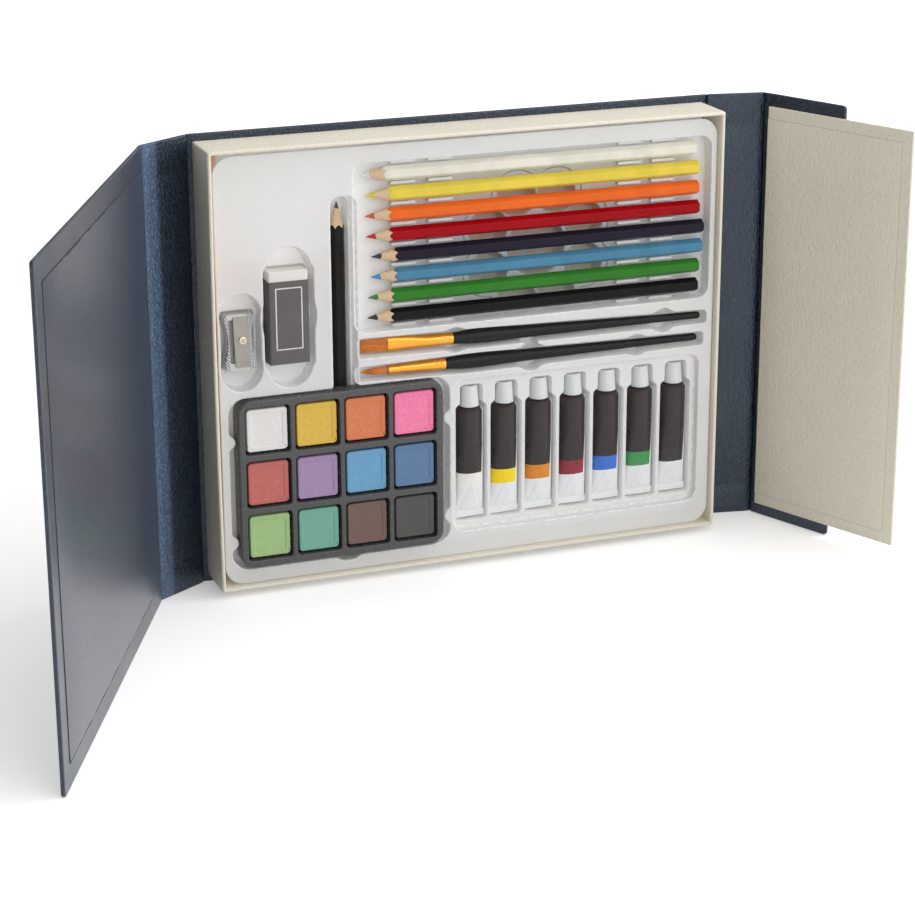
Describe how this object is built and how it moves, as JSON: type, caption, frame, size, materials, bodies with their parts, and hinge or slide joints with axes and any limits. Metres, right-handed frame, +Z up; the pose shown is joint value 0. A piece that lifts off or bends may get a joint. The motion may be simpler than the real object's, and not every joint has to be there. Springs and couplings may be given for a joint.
{
  "type": "watercolour art set",
  "caption": "Folding board case that stands open like a screen, with a formed insert holding colour pencils, brushes, a pan tray, paint tubes, eraser and sharpener.",
  "frame": {"origin": "middle of the back panel's bottom edge, on the panel's mid-plane, where the case stands", "axes": "+Z up, +Y to the back out of the back panel, +X to the right seen from the front"},
  "size_m": [0.4522, 0.2124, 0.225],
  "materials": {
    "cover_cloth": "board wrapped in grained leatherette",
    "cover_lining": "matte lining paper",
    "cream_board": "board wrapped in matte cream paper",
    "pad_paper": "matte cover of a paper pad",
    "magnet": "plain disc",
    "formed_plastic": "vacuum-formed sheet",
    "palette_plastic": "moulded, glossy",
    "pencil_white": "lacquered wood",
    "pencil_yellow": "lacquered wood",
    "pencil_orange": "lacquered wood",
    "pencil_red": "lacquered wood",
    "pencil_violet": "lacquered wood",
    "pencil_blue": "lacquered wood",
    "pencil_green": "lacquered wood",
    "pencil_black": "lacquered wood",
    "graphite_pencil": "lacquered wood",
    "brush_handle": "black lacquered wood",
    "ferrule": "gold-coloured plated metal",
    "bristle": "synthetic hair",
    "eraser": "soft vinyl",
    "eraser_sleeve": "printed card",
    "sharpener_metal": "satin cast and milled metal",
    "blade_steel": "ground steel",
    "pan_plastic": "moulded, satin",
    "cake_white": "pressed pigment, matte",
    "cake_yellow": "pressed pigment, matte",
    "cake_orange": "pressed pigment, matte",
    "cake_pink": "pressed pigment, matte",
    "cake_red": "pressed pigment, matte",
    "cake_violet": "pressed pigment, matte",
    "cake_sky": "pressed pigment, matte",
    "cake_blue": "pressed pigment, matte",
    "cake_light_green": "pressed pigment, matte",
    "cake_teal": "pressed pigment, matte",
    "cake_brown": "pressed pigment, matte",
    "cake_charcoal": "pressed pigment, matte",
    "tube_white": "lacquered soft metal tube",
    "tube_yellow": "lacquered soft metal tube",
    "tube_ochre": "lacquered soft metal tube",
    "tube_red": "lacquered soft metal tube",
    "tube_blue": "lacquered soft metal tube",
    "tube_green": "lacquered soft metal tube",
    "tube_black": "lacquered soft metal tube",
    "tube_cap": "moulded white"
  },
  "bodies": {
    "case": {"back_panel": "cover_cloth", "tray": "cream_board", "paper_pad": "pad_paper"},
    "left_spine": {"left_spine": "cover_cloth"},
    "front_cover": {"front_cover": "cover_cloth", "cover_lining": "cover_lining", "cover_magnets": "magnet"},
    "right_spine": {"right_spine": "cover_cloth"},
    "right_flap": {"right_flap": "cover_cloth", "closure_tongue": "cream_board", "tongue_magnets": "magnet"},
    "insert": {"insert": "formed_plastic", "mixing_palette": "palette_plastic", "graphite_pencil": "graphite_pencil"},
    "flat_brush": {"flat_brush_handle": "brush_handle", "flat_brush_ferrule": "ferrule", "flat_brush_bristles": "bristle"},
    "round_brush": {"round_brush_handle": "brush_handle", "round_brush_ferrule": "ferrule", "round_brush_bristles": "bristle"},
    "eraser": {"eraser": "eraser", "eraser_sleeve": "eraser_sleeve"},
    "sharpener": {"sharpener_body": "sharpener_metal", "sharpener_blade": "blade_steel", "sharpener_screw": "blade_steel"},
    "pan_tray": {"pan_tray": "pan_plastic", "cake_white": "cake_white", "cake_yellow": "cake_yellow", "cake_orange": "cake_orange", "cake_pink": "cake_pink", "cake_red": "cake_red", "cake_violet": "cake_violet", "cake_sky": "cake_sky", "cake_blue": "cake_blue", "cake_light_green": "cake_light_green", "cake_teal": "cake_teal", "cake_brown": "cake_brown", "cake_charcoal": "cake_charcoal"},
    "pencil_white": {"pencil_white": "pencil_white"},
    "pencil_yellow": {"pencil_yellow": "pencil_yellow"},
    "pencil_orange": {"pencil_orange": "pencil_orange"},
    "pencil_red": {"pencil_red": "pencil_red"},
    "pencil_violet": {"pencil_violet": "pencil_violet"},
    "pencil_blue": {"pencil_blue": "pencil_blue"},
    "pencil_green": {"pencil_green": "pencil_green"},
    "pencil_black": {"pencil_black": "pencil_black"},
    "tube_white": {"tube_white": "tube_white"},
    "cap_white": {"cap_white": "tube_cap"},
    "tube_yellow": {"tube_yellow": "tube_yellow"},
    "cap_yellow": {"cap_yellow": "tube_cap"},
    "tube_ochre": {"tube_ochre": "tube_ochre"},
    "cap_ochre": {"cap_ochre": "tube_cap"},
    "tube_red": {"tube_red": "tube_red"},
    "cap_red": {"cap_red": "tube_cap"},
    "tube_blue": {"tube_blue": "tube_blue"},
    "cap_blue": {"cap_blue": "tube_cap"},
    "tube_green": {"tube_green": "tube_green"},
    "cap_green": {"cap_green": "tube_cap"},
    "tube_black": {"tube_black": "tube_black"},
    "cap_black": {"cap_black": "tube_cap"}
  },
  "joints": [
    {"name": "left_spine_fold", "type": "hinge", "parent": "case", "child": "left_spine", "pos_m": [-0.13415, 0, 0.1125], "axis": [0, 0, -1], "range_deg": [-57.8, 32.2]},
    {"name": "cover_fold", "type": "hinge", "parent": "left_spine", "child": "front_cover", "pos_m": [-0.16076, -0.01676, 0.1125], "axis": [0, 0, -1], "range_deg": [-57, 33]},
    {"name": "right_spine_fold", "type": "hinge", "parent": "case", "child": "right_spine", "pos_m": [0.13415, 0, 0.1125], "axis": [0, 0, 1], "range_deg": [-79, 11]},
    {"name": "flap_fold", "type": "hinge", "parent": "right_spine", "child": "right_flap", "pos_m": [0.16458, -0.00592, 0.1125], "axis": [0, 0, 1], "range_deg": [-34, 56]},
    {"name": "insert_lift", "type": "slide", "parent": "case", "child": "insert", "axis": [0, -1, 0], "range_m": [0, 0.04]},
    {"name": "pencil_white_lift", "type": "slide", "parent": "insert", "child": "pencil_white", "axis": [0, -1, 0], "range_m": [0, 0.03]},
    {"name": "pencil_yellow_lift", "type": "slide", "parent": "insert", "child": "pencil_yellow", "axis": [0, -1, 0], "range_m": [0, 0.03]},
    {"name": "pencil_orange_lift", "type": "slide", "parent": "insert", "child": "pencil_orange", "axis": [0, -1, 0], "range_m": [0, 0.03]},
    {"name": "pencil_red_lift", "type": "slide", "parent": "insert", "child": "pencil_red", "axis": [0, -1, 0], "range_m": [0, 0.03]},
    {"name": "pencil_violet_lift", "type": "slide", "parent": "insert", "child": "pencil_violet", "axis": [0, -1, 0], "range_m": [0, 0.03]},
    {"name": "pencil_blue_lift", "type": "slide", "parent": "insert", "child": "pencil_blue", "axis": [0, -1, 0], "range_m": [0, 0.03]},
    {"name": "pencil_green_lift", "type": "slide", "parent": "insert", "child": "pencil_green", "axis": [0, -1, 0], "range_m": [0, 0.03]},
    {"name": "pencil_black_lift", "type": "slide", "parent": "insert", "child": "pencil_black", "axis": [0, -1, 0], "range_m": [0, 0.03]},
    {"name": "flat_brush_lift", "type": "slide", "parent": "insert", "child": "flat_brush", "axis": [0, -1, 0], "range_m": [0, 0.03]},
    {"name": "round_brush_lift", "type": "slide", "parent": "insert", "child": "round_brush", "axis": [0, -1, 0], "range_m": [0, 0.03]},
    {"name": "eraser_lift", "type": "slide", "parent": "insert", "child": "eraser", "axis": [0, -1, 0], "range_m": [0, 0.03]},
    {"name": "sharpener_lift", "type": "slide", "parent": "insert", "child": "sharpener", "axis": [0, -1, 0], "range_m": [0, 0.03]},
    {"name": "pan_tray_lift", "type": "slide", "parent": "insert", "child": "pan_tray", "axis": [0, -1, 0], "range_m": [0, 0.03]},
    {"name": "tube_white_lift", "type": "slide", "parent": "insert", "child": "tube_white", "axis": [0, -1, 0], "range_m": [0, 0.03]},
    {"name": "cap_white_turn", "type": "hinge", "parent": "tube_white", "child": "cap_white", "pos_m": [0, -0.01765, 0.087], "axis": [0, 0, 1], "range_deg": [0, 540]},
    {"name": "tube_yellow_lift", "type": "slide", "parent": "insert", "child": "tube_yellow", "axis": [0, -1, 0], "range_m": [0, 0.03]},
    {"name": "cap_yellow_turn", "type": "hinge", "parent": "tube_yellow", "child": "cap_yellow", "pos_m": [0.0186, -0.01765, 0.087], "axis": [0, 0, 1], "range_deg": [0, 540]},
    {"name": "tube_ochre_lift", "type": "slide", "parent": "insert", "child": "tube_ochre", "axis": [0, -1, 0], "range_m": [0, 0.03]},
    {"name": "cap_ochre_turn", "type": "hinge", "parent": "tube_ochre", "child": "cap_ochre", "pos_m": [0.0372, -0.01765, 0.087], "axis": [0, 0, 1], "range_deg": [0, 540]},
    {"name": "tube_red_lift", "type": "slide", "parent": "insert", "child": "tube_red", "axis": [0, -1, 0], "range_m": [0, 0.03]},
    {"name": "cap_red_turn", "type": "hinge", "parent": "tube_red", "child": "cap_red", "pos_m": [0.0558, -0.01765, 0.087], "axis": [0, 0, 1], "range_deg": [0, 540]},
    {"name": "tube_blue_lift", "type": "slide", "parent": "insert", "child": "tube_blue", "axis": [0, -1, 0], "range_m": [0, 0.03]},
    {"name": "cap_blue_turn", "type": "hinge", "parent": "tube_blue", "child": "cap_blue", "pos_m": [0.0744, -0.01765, 0.087], "axis": [0, 0, 1], "range_deg": [0, 540]},
    {"name": "tube_green_lift", "type": "slide", "parent": "insert", "child": "tube_green", "axis": [0, -1, 0], "range_m": [0, 0.03]},
    {"name": "cap_green_turn", "type": "hinge", "parent": "tube_green", "child": "cap_green", "pos_m": [0.093, -0.01765, 0.087], "axis": [0, 0, 1], "range_deg": [0, 540]},
    {"name": "tube_black_lift", "type": "slide", "parent": "insert", "child": "tube_black", "axis": [0, -1, 0], "range_m": [0, 0.03]},
    {"name": "cap_black_turn", "type": "hinge", "parent": "tube_black", "child": "cap_black", "pos_m": [0.1116, -0.01765, 0.087], "axis": [0, 0, 1], "range_deg": [0, 540]}
  ]
}
